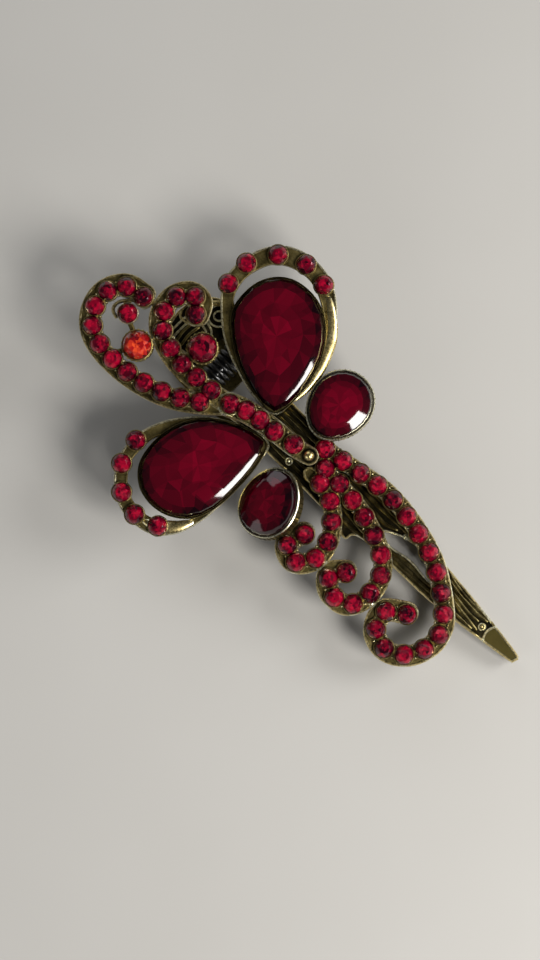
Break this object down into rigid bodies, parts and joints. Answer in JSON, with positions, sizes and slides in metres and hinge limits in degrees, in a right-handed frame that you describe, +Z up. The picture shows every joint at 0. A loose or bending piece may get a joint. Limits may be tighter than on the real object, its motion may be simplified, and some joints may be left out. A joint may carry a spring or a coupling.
{
  "type": "alligator hair clip",
  "caption": "Long spring-loaded alligator hair clip whose upper jaw carries a jewelled butterfly with curled antennae and a scrolling tail.",
  "frame": {"origin": "on the lower jaw's flat underside, straight below the hinge pin", "axes": "+X along the jaws from the hinge to the tips, +Y to the left wing, +Z up from the underside"},
  "size_m": [0.1005, 0.0574, 0.0213],
  "materials": {
    "jaw_brass": "antiqued brass plate, dark in the grooves and rubbed bright on the ridges",
    "ornament_brass": "antiqued cast brass with bright rims",
    "bright_brass": "polished",
    "pin_steel": "dull steel",
    "spring_steel": "dark oiled spring wire",
    "ruby_glass": "foil-backed cut glass",
    "orange_glass": "foil-backed cut glass",
    "wine_resin": "clear wine-red resin with cut facets over a dark back"
  },
  "bodies": {
    "lower_assembly": {"lower_jaw": "jaw_brass", "hinge_pin": "pin_steel", "torsion_spring": "spring_steel"},
    "upper_assembly": {"antenna_stone_curl_1": "ruby_glass", "antenna_stone_left_1": "ruby_glass", "antenna_stone_left_2": "ruby_glass", "antenna_stone_left_3": "ruby_glass", "antenna_stone_left_4": "ruby_glass", "antenna_stone_left_5": "ruby_glass", "antenna_stone_left_6": "ruby_glass", "antenna_stone_left_7": "ruby_glass", "antenna_stone_left_8": "ruby_glass", "antenna_stone_left_9": "ruby_glass", "antenna_stone_right_1": "ruby_glass", "antenna_stone_right_10": "ruby_glass", "antenna_stone_right_11": "ruby_glass", "antenna_stone_right_12": "ruby_glass", "antenna_stone_right_2": "ruby_glass", "antenna_stone_right_3": "ruby_glass", "antenna_stone_right_4": "ruby_glass", "antenna_stone_right_5": "ruby_glass", "antenna_stone_right_6": "ruby_glass", "antenna_stone_right_7": "ruby_glass", "antenna_stone_right_8": "ruby_glass", "antenna_stone_right_9": "ruby_glass", "body_and_antennae": "ornament_brass", "body_rivet": "bright_brass", "body_stone_1": "ruby_glass", "body_stone_2": "ruby_glass", "body_stone_3": "ruby_glass", "body_stone_4": "ruby_glass", "body_stone_5": "ruby_glass", "forewing_frame_left": "ornament_brass", "forewing_frame_right": "ornament_brass", "forewing_stone_left": "wine_resin", "forewing_stone_right": "wine_resin", "hindwing_cup_left": "ornament_brass", "hindwing_cup_right": "ornament_brass", "hindwing_stone_left": "wine_resin", "hindwing_stone_right": "wine_resin", "medium_stone_inner": "ruby_glass", "medium_stone_outer": "orange_glass", "tail_scroll_inner": "ornament_brass", "tail_scroll_middle": "ornament_brass", "tail_scroll_outer": "ornament_brass", "tail_stones_inner": "ruby_glass", "tail_stones_middle": "ruby_glass", "tail_stones_outer": "ruby_glass", "upper_jaw": "jaw_brass", "wing_stone_left_1": "ruby_glass", "wing_stone_left_2": "ruby_glass", "wing_stone_left_3": "ruby_glass", "wing_stone_left_4": "ruby_glass", "wing_stone_left_5": "ruby_glass", "wing_stone_right_1": "ruby_glass", "wing_stone_right_2": "ruby_glass", "wing_stone_right_3": "ruby_glass", "wing_stone_right_4": "ruby_glass", "wing_stone_right_5": "ruby_glass"}
  },
  "joints": [
    {"name": "jaw_hinge", "type": "hinge", "parent": "lower_assembly", "child": "upper_assembly", "pos_m": [0, 0, 0.0065], "axis": [0, -1, 0], "range_deg": [0, 36], "stiffness_Nm_per_rad": 0.12, "springref_deg": -68.75, "deforming": ["torsion_spring"]}
  ]
}
